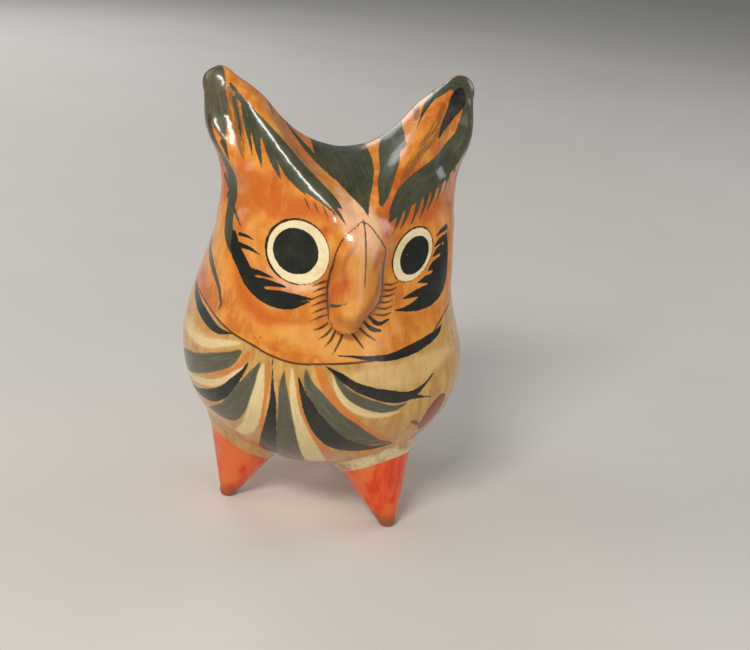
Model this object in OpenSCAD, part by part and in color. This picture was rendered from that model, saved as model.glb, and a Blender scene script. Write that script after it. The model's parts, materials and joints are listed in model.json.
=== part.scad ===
// Hollow clay owl with a turned head, two horn-like ears and three conical feet.
// Millimetres, +Z up. The origin is on the ground under the middle of the belly, the chest faces -Y,
// and the owl's left side is +X. Each piece is one of the clay pieces that the potter joins before firing:
// two half shells for the body, two for the head, solid ears, beak and feet, and coils of soft clay
// along the joins. Every surface comes from one smooth shape function, so the pieces meet face to face.

/* [Belly] */
// Width of the belly
belly_w = 92; // [88:0.5:96]
// Depth of the belly, front to back
belly_d = 88; // [84:0.5:92]
// Height of the belly
belly_h = 74; // [72:0.5:76]
// Height of the belly's middle above the ground
belly_z = 53.5; // [52.5:0.25:54.5]
// Middle of the shoulders, left to right
shoulder_x = -6.5; // [-8:0.5:0]
// Width and depth of the shoulders
shoulder_w = 73; // [70:0.5:75]
// Height of the shoulders' middle above the ground
shoulder_z = 65; // [63:0.5:66]

/* [Head] */
// How far the head is turned to the owl's left, in degrees
head_turn = 30; // [0:1:35]
// Width of the skull
skull_w = 66; // [64:0.5:70]
// Depth of the skull, front to back
skull_d = 70; // [68:0.5:72]
// Height of the skull
skull_h = 62; // [60:0.5:64]
// Height of the skull's middle above the ground
skull_z = 89.5; // [88:0.5:91]
// Distance from the head's axis to each of the two flat sides of the face
face_reach = 56.5; // [55:0.25:58]

/* [Ears] */
// Distance of each ear tip from the middle of the head
ear_spread = 38.7; // [37:0.1:41]
// How far the ear tips stand back from the middle of the head
ear_lean = 2.5; // [1.5:0.5:4]
// Height of the left ear's tip above the ground
left_ear_top = 145.5; // [143:0.5:148]
// Height of the right ear's tip above the ground
right_ear_top = 145.5; // [143:0.5:148]
// Radius of the ear tips
ear_tip_r = 5.1; // [4.5:0.1:5.5]

/* [Beak] */
// Lowest point of the beak above the ground
beak_low = 74; // [71:0.5:76]
// Width of the beak
beak_w = 15.8; // [15:0.2:19]

/* [Feet] */
// Direction of the right front foot, in degrees from the front
right_foot_az = -61; // [-65:1:-55]
// Direction of the left front foot, in degrees from the front
left_foot_az = 70; // [65:1:75]
// Direction of the rear foot, in degrees from the front
rear_foot_az = 183; // [175:1:185]
// Distance of the right front foot's tip from the middle
right_foot_out = 29.5; // [28:0.5:32]
// Distance of the left front foot's tip from the middle
left_foot_out = 33.5; // [30:0.5:34]
// Distance of the rear foot's tip from the middle
rear_foot_out = 31; // [29:0.5:33]
// Diameter of a foot where it goes into the belly
foot_root_d = 32; // [28:1:34]
// Diameter of the flat pad that a foot stands on
foot_pad_d = 5.2; // [4:0.2:6]
// Thickness of the clay collar between a foot and the belly
collar_t = 3; // [2:0.25:4]

/* [Clay] */
// Wall thickness
wall = 5; // [4:0.25:6]
// Thickness of the coils pressed over the joins inside
coil_t = 3; // [2:0.25:4]
// Diameter of the vent hole under the belly
vent_d = 5; // [3:0.5:8]

/* [Hidden] */

// Colours of the painted clay
tan_slip = [0.76, 0.62, 0.42];
orange_slip = [0.84, 0.50, 0.24];
olive_slip = [0.27, 0.28, 0.23];
amber_slip = [0.80, 0.52, 0.26];
red_slip = [0.82, 0.29, 0.15];
cream_slip = [0.86, 0.76, 0.58];
raw_clay = [0.66, 0.45, 0.32];

// Body and head meet in this level plane, and every shell is traced by rays from its middle
neck_z = 64.5;
middle = [0, 0, neck_z];
ray_reach = 80;
// Divisions across and along a half shell
shell_cols = 36;
shell_rows = 22;
// Divisions round the ears, beak and feet
ring_n = 24;

belly_c = [0, 0, belly_z];
belly_r = [belly_w, belly_d, belly_h] / 2;
shoulder_c = [shoulder_x, -1, shoulder_z];
shoulder_r = [shoulder_w / 2, shoulder_w / 2, 31];
skull_c = [0, 1, skull_z];
skull_r = [skull_w, skull_d, skull_h] / 2;
cheek_c = [13.5, -8, skull_z + 1.5];
cheek_r = [24, 24, 25];

// Each face plane looks forwards, outwards and a little upwards
face_n = [0.48, -0.84, 0.25];

// Brow ridge of one side: outer end in the ear, bend over the eye, inner end at the beak
brow_out = [33, -5, 130];
brow_bend = [14, -27, 106];
brow_in = [4, -33.5, 88];

// Ears: root and tip centres in the head's own frame, and the part of the axis that stays on the shell
left_ear_root = [21.5, 1, 107];
left_ear_tip = [ear_spread, ear_lean, left_ear_top - ear_tip_r];
left_root_r = 19;
right_ear_root = [-19.5, 2, 110];
right_ear_tip = [-ear_spread, ear_lean, right_ear_top - ear_tip_r];
right_root_r = 17;
ear_flat = 1.2;
ear_join = 0.28;
ear_reach = 27;

// Shallow hollow in the front of each ear
hollow_low = [33, -14.5, 121];
hollow_high = [37.5, -7.5, 133];
hollow_low_r = 2.2;
hollow_high_r = 3.4;

// Beak: top, middle and lower end centres in the head's own frame
beak_top = [2, -32, 99];
beak_mid = [0.3, -38, 87.5];
beak_tip_r = 5.8;
beak_end = [-3.2, -42, beak_low + beak_tip_r];
beak_eye = [-1, -22, 88];
beak_n = [0.50, -0.83, 0.24];
// How round the beak is along its middle, and how far its sides stand off the face planes
keel_r = 2.8;
keel_out = 1;

// Feet: centre and radius of a foot's root, in a frame turned to the foot's direction
foot_root = [0, -21.5, 30];
foot_tip_z = 1.8;
foot_tip_r = 3;
collar_lip = 0.8;
// Clearance between a coil and the shell it is pressed against
coil_gap = 0.15;

// Turns a point about the vertical axis
function turn(p, a) = [cos(a) * p.x - sin(a) * p.y, sin(a) * p.x + cos(a) * p.y, p.z];
function mirrored(p) = [abs(p.x), p.y, p.z];
function unit(v) = v / norm(v);

// Signed distances, below zero inside
function ellipsoid(p, c, r) =
    let (d = p - c, a = [d.x / r.x, d.y / r.y, d.z / r.z], b = [a.x / r.x, a.y / r.y, a.z / r.z])
    norm(a) * (norm(a) - 1) / max(norm(b), 0.000001);
function taper(p, a, b, ra, rb, flat = 1) =
    let (d = b - a, t = min(1, max(0, (p - a) * d / (d * d))), e = p - a - t * d)
    norm([e.x, e.y * flat, e.z]) - (ra + (rb - ra) * t);
function plane(p, n, d) = n * p - d;

// Union and intersection with a fillet about k wide
function join(a, b, k) = min(a, b) - pow(max(k - abs(a - b), 0), 2) / (4 * k);
function meet(a, b, k) = -join(-a, -b, k);

function belly(p) = join(ellipsoid(p, belly_c, belly_r), ellipsoid(p, shoulder_c, shoulder_r), 8);
function skull(q) = join(ellipsoid(q, skull_c, skull_r), ellipsoid(mirrored(q), cheek_c, cheek_r), 10);
function brow(m) = join(taper(m, brow_out, brow_bend, 9, 7.5), taper(m, brow_bend, brow_in, 7.5, 6.5), 3);
function left_horn(q) = taper(q, left_ear_root, left_ear_tip, left_root_r, ear_tip_r, ear_flat);
function right_horn(q) = taper(q, right_ear_root, right_ear_tip, right_root_r, ear_tip_r, ear_flat);
function face(f, m) = meet(f, plane(m, face_n, face_reach), 3.5);

// The body and a bare head, which the inside of the wall follows
function bare(p) =
    let (q = turn(p, -head_turn))
    face(join(belly(p), skull(q), 16), mirrored(q));

// The whole outer surface, without beak and feet
function owl(p) =
    let (q = turn(p, -head_turn), m = mirrored(q),
         eared = join(join(join(belly(p), skull(q), 16), left_horn(q), 9), right_horn(q), 9))
    meet(face(join(eared, brow(m), 9), m),
         -taper(m, hollow_low, hollow_high, hollow_low_r, hollow_high_r), 5);

// The ears sit on flat faces across their own axes
function ear_plane(p, root, tip) =
    let (n = unit(tip - root))
    n * (turn(p, -head_turn) - root - ear_join * (tip - root));
function head_outside(p) =
    max(owl(p), ear_plane(p, left_ear_root, left_ear_tip), ear_plane(p, right_ear_root, right_ear_tip));

function keel(q) = plane([norm([q.x + 0.5, keel_r]), q.y, q.z], beak_n, face_reach + keel_out);
function bill(p) =
    let (q = turn(p, -head_turn), r = beak_w / 2)
    meet(join(taper(q, beak_top, beak_mid, r - 1, r), taper(q, beak_mid, beak_end, r, beak_tip_r), 4),
         keel(q), 4);

// Point where a ray leaves a shape, found by halving between near and far
function hit(shape, from, along, far, near = 0, n = 16) =
    n == 0 ? from + along * (near + far) / 2
    : let (half = (near + far) / 2)
      shape(from + along * half) < 0 ? hit(shape, from, along, far, half, n - 1)
                                     : hit(shape, from, along, half, near, n - 1);

// Rows of points where rays from the middle leave a shape; along(u, v) gives a ray, u and v from 0 to 1
function sheet(shape, along, cols, rows) =
    [for (j = [0:rows]) [for (i = [0:cols]) hit(shape, middle, along(i / cols, j / rows), ray_reach)]];

// Ray by azimuth from the front and height angle, and ray near the upright plane of a seam
function look(az, el) = [sin(az) * cos(el), -cos(az) * cos(el), sin(el)];
function seam_ray(az, arch, off) =
    cos(off) * (cos(arch) * look(az, 0) + [0, 0, sin(arch)]) + sin(off) * look(az + 90, 0);

// Axes across a direction, so that side x up = along
function side(along) = unit(cross([0, 1, 0], along));
function ring_dir(along, a) = cos(a) * side(along) + sin(a) * cross(along, side(along));
function around(k) = 360 * k / ring_n;

function quad(a, b, c, d) = [[a, b, c], [a, c, d]];

// Closed solid between an outer and an inner grid of points. Seen from outside, a row runs to the right
// and the rows go up. A ring closes on itself, and triangles that shrink to a line are left out.
module slab(outer, inner, ring = false) {
    cols = len(outer[0]);
    last = len(outer) - 1;
    half = cols * len(outer);
    points = concat([for (row = outer) each row], [for (row = inner) each row]);
    span = ring ? cols - 1 : cols - 2;
    function o(j, i) = j * cols + i % cols;
    function n(j, i) = half + o(j, i);
    skin = [for (j = [0:last - 1], i = [0:span])
            each concat(quad(o(j, i), o(j + 1, i), o(j + 1, i + 1), o(j, i + 1)),
                        quad(n(j, i), n(j, i + 1), n(j + 1, i + 1), n(j + 1, i)))];
    rims = [for (i = [0:span])
            each concat(quad(o(0, i), o(0, i + 1), n(0, i + 1), n(0, i)),
                        quad(o(last, i + 1), o(last, i), n(last, i), n(last, i + 1)))];
    ends = ring ? [] : [for (j = [0:last - 1])
            each concat(quad(o(j + 1, 0), o(j, 0), n(j, 0), n(j + 1, 0)),
                        quad(o(j, cols - 1), o(j + 1, cols - 1), n(j + 1, cols - 1), n(j, cols - 1)))];
    faces = [for (t = concat(skin, rims, ends))
             if (points[t[0]] != points[t[1]] && points[t[1]] != points[t[2]] && points[t[2]] != points[t[0]]) t];
    polyhedron(points = points, faces = faces, convexity = 6);
}

// Solid wrapped round rings of points, from a flat ring about base to a single point
module wrap(rings, base) {
    slab(rings, [for (row = rings) [for (p = row) base]], ring = true);
}

// Half shell from azimuth az to az + 180, between two height angles
module half_shell(az, low, high, outside) {
    along = function(u, v) look(az + 180 * u, low + (high - low) * v);
    slab(sheet(outside, along, shell_cols, shell_rows),
         sheet(function(p) bare(p) + wall, along, shell_cols, shell_rows));
}

// Coil pressed over a seam, along an arch between two angles
module seam_coil(az, from, to, steps) {
    width = 4;
    along = function(u, v) seam_ray(az, from + (to - from) * v, width * (2 * u - 1));
    slab(sheet(function(p) bare(p) + wall + coil_gap, along, 4, steps),
         sheet(function(p) bare(p) + wall + coil_t, along, 4, steps));
}

// Solid ear on its flat face: rings across the axis, then a round end
module ear(root, tip) {
    start = turn(root + ear_join * (tip - root), head_turn);
    end = turn(tip, head_turn);
    along = unit(end - start);
    rings = [for (t = [0:9]) [for (k = [0:ring_n - 1])
             hit(function(p) owl(p), start + (end - start) * t / 9, ring_dir(along, around(k)), ear_reach)]];
    dome = [for (lift = [25:25:75]) [for (k = [0:ring_n - 1])
            hit(function(p) owl(p), end, cos(lift) * ring_dir(along, around(k)) + sin(lift) * along, ear_reach)]];
    point = hit(function(p) owl(p), end, along, ear_reach);
    wrap(concat(rings, dome, [[for (k = [0:ring_n - 1]) point]]), start);
}

// Foot: point on the cone at height share t from the root, at share u of its radius, widened by more
function foot_axis(out) = [0, -out + 1, foot_tip_z] - foot_root;
function foot_point(out, k, t, u, more) =
    let (axis = foot_axis(out), r = foot_root_d / 2 + (foot_tip_r - foot_root_d / 2) * t + more)
    foot_root + axis * t + ring_dir(unit(-axis), around(k)) * r * u;

// Share of the cone at which it reaches a level outside the belly
function foot_reach(az, out, k, u, more, level, deep = -0.45, shallow = 1, n = 16) =
    n == 0 ? (deep + shallow) / 2
    : let (t = (deep + shallow) / 2)
      belly(turn(foot_point(out, k, t, u, more), az)) < level
          ? foot_reach(az, out, k, u, more, level, t, shallow, n - 1)
          : foot_reach(az, out, k, u, more, level, deep, t, n - 1);

// Rings on the belly's surface, or level with it, from the cone's rim to its axis
function foot_cap(az, out, more, level) =
    [for (s = [4:-1:0]) [for (k = [0:ring_n - 1])
     turn(foot_point(out, k, foot_reach(az, out, k, s / 4, more, level), s / 4, more), az)]];

module foot(az, out) {
    pad = turn([0, -out + 0.5, 0], az);
    sole = [for (k = [0:ring_n - 1])
            turn([0, -out + 0.5, 0] + foot_pad_d / 2 * [cos(around(k)), sin(around(k)), 0], az)];
    heel = 0.94;
    cone = [for (s = [0:4]) [for (k = [0:ring_n - 1])
            let (top = foot_reach(az, out, k, 1, 0, collar_t))
            turn(foot_point(out, k, heel + (top - heel) * s / 5, 1, 0), az)]];
    wrap(concat([sole], cone, foot_cap(az, out, 0, collar_t)), pad);
}

module collar(az, out) {
    slab(foot_cap(az, out, collar_lip, 0), foot_cap(az, out, collar_lip, collar_t), ring = true);
}

// The vent hole is where the body's shells stop short of the lowest point
vent_angle = atan(vent_d / 2 / (neck_z - belly_z + belly_h / 2));

module body_front_shell() {
    color(tan_slip) half_shell(-90, -90 + vent_angle, 0, function(p) owl(p));
}

module body_back_shell() {
    color(tan_slip) half_shell(90, -90 + vent_angle, 0, function(p) owl(p));
}

module face_shell() {
    color(orange_slip) half_shell(head_turn - 90, 0, 90, function(p) head_outside(p));
}

module nape_shell() {
    color(orange_slip) half_shell(head_turn + 90, 0, 90, function(p) head_outside(p));
}

module ear_right() {
    color(olive_slip) ear(right_ear_root, right_ear_tip);
}

module ear_left() {
    color(olive_slip) ear(left_ear_root, left_ear_tip);
}

// The beak stands on the face: rays from inside the head, spread until the bill meets the face
module beak() {
    eye = turn(beak_eye, head_turn);
    along = look(head_turn, 0);
    up = function(k, spread)
        cos(spread) * along + sin(spread) * (cos(around(k)) * look(head_turn + 90, 0) + [0, 0, sin(around(k))]);
    face_at = function(k, spread) hit(function(p) owl(p), eye, up(k, spread), 40);
    spread_to = function(k, low = 0, high = 80, n = 14)
        n == 0 ? (low + high) / 2
        : let (half = (low + high) / 2)
          bill(face_at(k, half)) < 0 ? spread_to(k, half, high, n - 1) : spread_to(k, low, half, n - 1);
    rim = [for (k = [0:ring_n - 1]) spread_to(k)];
    base = [for (s = [8:-1:0]) [for (k = [0:ring_n - 1]) face_at(k, rim[k] * s / 8)]];
    front = [for (s = [8:-1:0]) [for (k = [0:ring_n - 1])
             s == 8 ? base[0][k] : hit(function(p) bill(p), base[8 - s][k], up(k, rim[k] * s / 8), 25)]];
    color(amber_slip) slab(front, base, ring = true);
}

module foot_front_right() {
    color(red_slip) foot(right_foot_az, right_foot_out);
}

module foot_front_left() {
    color(red_slip) foot(left_foot_az, left_foot_out);
}

module foot_rear() {
    color(red_slip) foot(rear_foot_az, rear_foot_out);
}

module collar_front_right() {
    color(cream_slip) collar(right_foot_az, right_foot_out);
}

module collar_front_left() {
    color(cream_slip) collar(left_foot_az, left_foot_out);
}

module collar_rear() {
    color(cream_slip) collar(rear_foot_az, rear_foot_out);
}

// The body's coil leaves the vent hole free, so it is two lengths
module body_seam_coil() {
    color(raw_clay) seam_coil(90, -80, -8, 16);
    color(raw_clay) seam_coil(90, -172, -100, 16);
}

module neck_coil() {
    height = 5;
    along = function(u, v) look(360 * u, height * (2 * v - 1));
    shell = function(depth) [for (row = sheet(function(p) bare(p) + wall + depth, along, 60, 4))
                             [for (i = [0:59]) row[i]]];
    color(raw_clay) slab(shell(coil_gap), shell(coil_t), ring = true);
}

module head_seam_coil() {
    color(raw_clay) seam_coil(head_turn + 90, 8, 172, 36);
}

body_front_shell();
body_back_shell();
face_shell();
nape_shell();
ear_right();
ear_left();
beak();
foot_front_right();
foot_front_left();
foot_rear();
collar_front_right();
collar_front_left();
collar_rear();
body_seam_coil();
neck_coil();
head_seam_coil();
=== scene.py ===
"""Looks of the hollow clay owl: its burnished skin in thirteen pieces, the brush painting, light and camera.

Shapes are written in millimetres, in the part's own frame: +Z up, chest towards -Y, the owl's left at +X.
"""
import json
from math import ceil, cos, radians, sin

import bmesh
import bpy
import numpy as np
import openvdb
from mathutils import Matrix, Vector

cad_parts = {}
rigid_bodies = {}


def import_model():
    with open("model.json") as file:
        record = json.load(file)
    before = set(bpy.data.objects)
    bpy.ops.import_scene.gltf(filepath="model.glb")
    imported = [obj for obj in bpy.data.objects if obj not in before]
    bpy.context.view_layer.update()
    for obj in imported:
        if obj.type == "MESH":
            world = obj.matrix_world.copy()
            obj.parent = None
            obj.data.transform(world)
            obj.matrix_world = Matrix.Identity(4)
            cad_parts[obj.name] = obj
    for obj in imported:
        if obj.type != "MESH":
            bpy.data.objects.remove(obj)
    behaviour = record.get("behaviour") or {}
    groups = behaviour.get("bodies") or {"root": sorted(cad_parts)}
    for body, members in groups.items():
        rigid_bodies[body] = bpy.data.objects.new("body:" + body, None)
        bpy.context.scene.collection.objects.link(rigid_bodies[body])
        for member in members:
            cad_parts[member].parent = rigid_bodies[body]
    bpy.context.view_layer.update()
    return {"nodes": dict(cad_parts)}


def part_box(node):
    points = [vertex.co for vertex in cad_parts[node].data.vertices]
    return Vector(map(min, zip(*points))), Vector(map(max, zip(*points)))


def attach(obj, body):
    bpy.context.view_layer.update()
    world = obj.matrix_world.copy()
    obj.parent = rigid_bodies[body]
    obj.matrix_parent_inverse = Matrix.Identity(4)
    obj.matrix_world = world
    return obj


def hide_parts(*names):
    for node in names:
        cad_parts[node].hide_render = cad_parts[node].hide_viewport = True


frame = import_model()

MM = 0.001
FINE = 0.5     # grid step of the skin, in mm
SHARP = 0.5         # grid step of the small solids that cut it
COARSE = 1.2        # grid step of the large ones
CAVITY = 1.6        # grid step of the inside of the wall

# ---------------------------------------------------------------- the owl's shape, as in the CAD part
HEAD_TURN = 30
NECK_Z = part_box("face_shell")[0].z / MM
WALL = 5
VENT_R = 2.5
BELLY = ((0, 0, 53.5), (46, 44, 37))
SHOULDERS = ((-6.5, -1, 65), (36.5, 36.5, 31))
SKULL = ((0, 1, 89.5), (33, 35, 31))
CHEEK = ((13.5, -8, 91), (24, 24, 25))
FACE_N = (0.48, -0.84, 0.25)
FACE_REACH = 56.5
BROW = ((33, -5, 130), (14, -27, 106), (4, -33.5, 88))
BROW_R = (9, 7.5, 6.5)
LEFT_EAR = ((21.5, 1, 107), (38.7, 2.5, 140.4), 19, 5.1, 1.2)
RIGHT_EAR = ((-19.5, 2, 110), (-38.7, 2.5, 140.4), 17, 5.1, 1.2)
EAR_JOIN = 0.28
HOLLOW = ((33, -14.5, 121), (37.5, -7.5, 133), 2.2, 3.4)
BEAK = ((2, -32, 99), (0.3, -38, 87.5), (-3.2, -42, 79.8))
BEAK_R = (6.9, 7.9, 5.8)
BEAK_N = (0.50, -0.83, 0.24)
KEEL_R = 2.8         # how round the beak is along its middle
KEEL_OUT = 1         # how far its sides stand off the face planes
FEET = {"front_right": (-61, 29.5), "front_left": (70, 33.5), "rear": (183, 31)}    # azimuth and reach
FOOT_ROOT = (0, -21.5, 30)
FOOT_ROOT_R = 16
FOOT_TIP_R = 3
FOOT_TIP_Z = 1.8
COLLAR_T = 3
COLLAR_LIP = 0.7     # how far a collar stands off its foot
LEGS_TOP = 45        # the feet and collars lie wholly below this height
OWL_MIDDLE = 73.5


def turned(p, angle):
    """Points p, an (x, y, z) of arrays, seen from a frame turned by angle about the vertical."""
    c, s = cos(radians(angle)), sin(radians(angle))
    return c * p[0] + s * p[1], -s * p[0] + c * p[1], p[2]


def mirrored(p):
    return np.abs(p[0]), p[1], p[2]


def ellipsoid(p, centre, r):
    d = [(p[i] - centre[i]) / r[i] for i in range(3)]
    k = np.sqrt(sum(v * v for v in d))
    steep = np.sqrt(sum((v / r[i]) ** 2 for i, v in enumerate(d)))
    return k * (k - 1) / np.maximum(steep, 1e-6)


def taper(p, a, b, ra, rb, flat=1):
    """Cone with round ends, flattened front to back."""
    d = [b[i] - a[i] for i in range(3)]
    e = [p[i] - a[i] for i in range(3)]
    t = np.clip(sum(e[i] * d[i] for i in range(3)) / sum(v * v for v in d), 0, 1)
    e = [e[i] - t * d[i] for i in range(3)]
    return np.sqrt(e[0] ** 2 + (flat * e[1]) ** 2 + e[2] ** 2) - (ra + (rb - ra) * t)


def plane(p, n, reach):
    return n[0] * p[0] + n[1] * p[1] + n[2] * p[2] - reach


def join(a, b, k):
    """Union with a fillet about k wide."""
    return np.minimum(a, b) - np.maximum(k - np.abs(a - b), 0) ** 2 / (4 * k)


def meet(a, b, k):
    """Intersection with a rounded edge."""
    return -join(-a, -b, k)


def belly(p):
    return join(ellipsoid(p, *BELLY), ellipsoid(p, *SHOULDERS), 8)


def trunk(p, q):
    skull = join(ellipsoid(q, *SKULL), ellipsoid(mirrored(q), *CHEEK), 10)
    return join(belly(p), skull, 16)


def bare(p):
    """Body and bare head, which the inside of the wall follows."""
    q = turned(p, HEAD_TURN)
    return meet(trunk(p, q), plane(mirrored(q), FACE_N, FACE_REACH), 3.5)


def core(p):
    """The whole outside, without beak and feet."""
    q = turned(p, HEAD_TURN)
    m = mirrored(q)
    f = join(join(trunk(p, q), taper(q, *LEFT_EAR), 9), taper(q, *RIGHT_EAR), 9)
    brow = join(taper(m, BROW[0], BROW[1], *BROW_R[:2]), taper(m, BROW[1], BROW[2], *BROW_R[1:]), 3)
    f = meet(join(f, brow, 9), plane(m, FACE_N, FACE_REACH), 3.5)
    return meet(f, -taper(m, *HOLLOW), 5)


def bill(p):
    q = turned(p, HEAD_TURN)
    f = join(taper(q, BEAK[0], BEAK[1], *BEAK_R[:2]), taper(q, BEAK[1], BEAK[2], *BEAK_R[1:]), 4)
    keel = plane((np.hypot(q[0] + 0.5, KEEL_R), q[1], q[2]), BEAK_N, FACE_REACH + KEEL_OUT)
    return meet(f, keel, 4)


def foot(p, az, out):
    q = turned(p, az)
    return taper(q, FOOT_ROOT, (0, 1 - out, FOOT_TIP_Z), FOOT_ROOT_R, FOOT_TIP_R)


def owl(p):
    """The whole skin: core, feet with their collars, and the beak, which runs into the brow at its top."""
    f = core(p)
    low = belly(p)
    for az, out in FEET.values():
        cone = foot(p, az, out)
        f = join(f, cone, 2)
        f = join(f, meet(cone - COLLAR_LIP, low - COLLAR_T + 0.6, 1.5), 1)
    blend = 1 + 6 * np.clip((p[2] - 90) / 12, 0, 1)
    return np.maximum(join(f, bill(p), blend), -p[2])


# ---------------------------------------------------------------- meshes from shapes
def slope(shape, p, eps=0.02):
    """How fast a shape's value grows along x, y and z at the points p, an array of rows."""
    g = np.empty_like(p)
    for i in range(3):
        ends = []
        for sign in (1, -1):
            moved = p.copy()
            moved[:, i] += sign * eps
            ends.append(shape(moved.T))
        g[:, i] = (ends[0] - ends[1]) / (2 * eps)
    return g


def unit(v):
    return v / np.maximum(np.linalg.norm(v, axis=1, keepdims=True), 1e-9)


def contour(shape, low, high, step):
    """Points and quads of the closed surface where a shape is zero. Only blocks near it are filled in."""
    block = 4
    low = np.array(low, float)
    n = [ceil((high[i] - low[i]) / (step * block)) for i in range(3)]
    centres = np.meshgrid(*[low[i] + step * (block * np.arange(n[i]) + 1.5) for i in range(3)], indexing="ij")
    rough = shape(centres)
    field = np.empty((n[0], block, n[1], block, n[2], block), np.float32)
    field[:] = rough[:, None, :, None, :, None]
    b = np.nonzero(np.abs(rough) < 1.7 * block * step)
    inner = np.meshgrid(*[np.arange(block)] * 3, indexing="ij")
    spots = [low[i] + step * (block * b[i][:, None, None, None] + inner[i][None]) for i in range(3)]
    field[b[0], :, b[1], :, b[2], :] = shape(spots)
    field = field.reshape([k * block for k in n])
    grid = openvdb.FloatGrid(background=3 * step)
    grid.copyFromArray(np.clip(field, -3 * step, 3 * step))
    points, quads = grid.convertToQuads(0.0)
    points = points.astype(float) * step + low
    for _ in range(2):
        g = slope(shape, points)
        shift = shape(points.T)[:, None] * g / np.maximum((g * g).sum(1, keepdims=True), 0.1)
        points -= np.clip(shift, -0.3 * step, 0.3 * step)
    return points, quads


def new_object(name, mesh):
    o = bpy.data.objects.new(name, mesh)
    bpy.context.scene.collection.objects.link(o)
    return o


def solid(name, shape, low, high, step):
    points, quads = contour(shape, low, high, step)
    mesh = bpy.data.meshes.new(name)
    mesh.from_pydata(points * MM, [], quads)
    return new_object(name, mesh)


def half_space(name, point, normal):
    """A block large enough to stand for everything on the normal's side of a point."""
    size = 400 * MM
    mesh = bpy.data.meshes.new(name)
    corners = [Vector((x, y, z)) * size for x in (-1, 1) for y in (-1, 1) for z in (0, 2)]
    rot = Vector(normal).to_track_quat("Z", "Y").to_matrix()
    mesh.from_pydata([rot @ c + Vector(point) * MM for c in corners], [],
                     [(0, 1, 3, 2), (4, 6, 7, 5), (0, 4, 5, 1), (2, 3, 7, 6), (0, 2, 6, 4), (1, 5, 7, 3)])
    return new_object(name, mesh)


def carved(name, whole, tool, how):
    """A new object: whole cut by tool, INTERSECT or DIFFERENCE."""
    cut = whole.modifiers.new("cut", "BOOLEAN")
    cut.solver, cut.operation, cut.object = "MANIFOLD", how, tool
    seen = whole.evaluated_get(bpy.context.evaluated_depsgraph_get())
    mesh = bpy.data.meshes.new_from_object(seen)
    whole.modifiers.clear()
    return new_object(name, mesh)


def split(whole, tool, name_in, name_out="rest"):
    """The parts of whole inside and outside tool. whole and tool are used up."""
    inside = carved(name_in, whole, tool, "INTERSECT")
    outside = carved(name_out, whole, tool, "DIFFERENCE")
    bpy.data.objects.remove(whole)
    bpy.data.objects.remove(tool)
    return inside, outside


def at_azimuth(az):
    return np.array([sin(radians(az)), -cos(radians(az)), 0])


def places(o):
    """The vertices of an object as rows, in mm."""
    co = np.empty(len(o.data.vertices) * 3)
    o.data.vertices.foreach_get("co", co)
    return co.reshape(-1, 3) / MM


def by_foot(off, prefix):
    """Shares out an object's three separate solids among the feet in whose direction they lie."""
    made = {}
    nearest = (np.array([at_azimuth(az) for az, _ in FEET.values()]) @ places(off).T).argmax(0)
    for mine, label in enumerate(FEET):
        bm = bmesh.new()
        bm.from_mesh(off.data)
        others = [v for v, best in zip(bm.verts, nearest) if best != mine]
        bmesh.ops.delete(bm, geom=others, context="VERTS")
        name = f"{prefix}_{label}"
        mesh = bpy.data.meshes.new(name + "_skin")
        bm.to_mesh(mesh)
        bm.free()
        made[name] = new_object(mesh.name, mesh)
    bpy.data.objects.remove(off)
    return made


def ear_side(root, tip):
    """Point and normal of the plane between head and ear, in the part's frame."""
    root, tip = np.array(root, float), np.array(tip, float)
    return [np.array(turned(v, -HEAD_TURN)) for v in (root + EAR_JOIN * (tip - root), tip - root)]


def make_pieces():
    """The skin, hollowed and cut where the parts of the owl were pressed together, as node name: object."""
    room = ((-58, -60, -4), (58, 60, 156))
    whole = solid("whole", owl, *room, FINE)
    cavity = solid("cavity", lambda p: bare(p) + WALL, *room, CAVITY)
    whole = split(whole, cavity, "inside")[1]
    drill = solid("drill", lambda p: np.maximum(np.hypot(p[0], p[1]) - VENT_R, np.abs(p[2] - 18) - 8),
                  (-6, -6, 6), (6, 6, 30), SHARP)
    whole = split(whole, drill, "inside")[1]
    pieces = {}
    for prefix, level in (("foot", COLLAR_T), ("collar", 0.2)):
        keep = solid("keep", lambda p: np.minimum(belly(p) - level, LEGS_TOP - p[2]),
                     (-70, -70, 8), (70, 70, 170), COARSE)
        whole, off = split(whole, keep, "kept", "off")
        pieces.update(by_foot(off, prefix))
    for name, ear in (("ear_left", LEFT_EAR), ("ear_right", RIGHT_EAR)):
        pieces[name], whole = split(whole, half_space("side", *ear_side(*ear[:2])), name)
    # the beak is all that lies within 0.35 mm of its own shape, down to 0.15 mm under the face
    bite = solid("bite", lambda p: np.maximum(bill(p) - 0.35, -core(p) - 0.15),
                 (-20, -60, 60), (50, 0, 120), SHARP)
    pieces["beak"], whole = split(whole, bite, "beak")
    head, body = split(whole, half_space("above", (0, 0, NECK_Z), (0, 0, 1)), "head", "body")
    front = half_space("front", (0, 0, 0), turned((0, -1, 0), -HEAD_TURN))
    pieces["face_shell"], pieces["nape_shell"] = split(head, front, "face", "nape")
    front = half_space("front", (0, 0, 0), (0, -1, 0))
    pieces["body_front_shell"], pieces["body_back_shell"] = split(body, front, "chest", "back")
    for o in list(bpy.data.objects):
        if o.name.startswith("inside"):
            bpy.data.objects.remove(o)
    for name, o in pieces.items():
        o.name = o.data.name = name + "_skin"
    return pieces


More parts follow.
